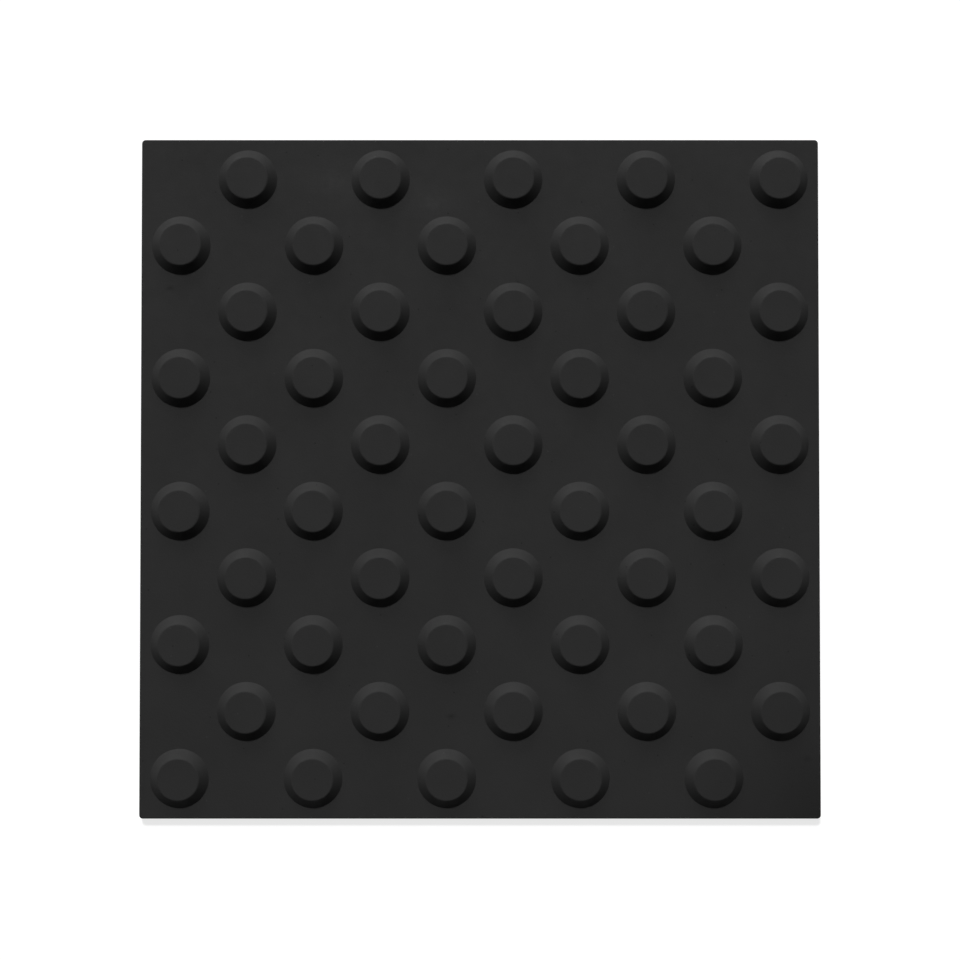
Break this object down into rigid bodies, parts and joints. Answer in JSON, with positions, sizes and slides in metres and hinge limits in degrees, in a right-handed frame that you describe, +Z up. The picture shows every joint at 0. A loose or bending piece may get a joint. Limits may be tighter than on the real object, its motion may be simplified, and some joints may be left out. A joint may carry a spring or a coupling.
{
  "type": "tactile paving slab",
  "caption": "Square black moulded paving slab with flat-topped domes in staggered rows on its upper face, laid to warn people underfoot of a hazard ahead.",
  "frame": {"origin": "middle of the slab's flat underside", "axes": "+Z up out of the domed face, X and Y along the square sides, with domes at the -X -Y and +X +Y corners"},
  "size_m": [0.4, 0.4, 0.01],
  "materials": {
    "black_rubber": "matt black moulded rubber, coloured through, with a fine even skin"
  },
  "bodies": {
    "root": {"tactile_slab": "black_rubber"}
  },
  "joints": []
}
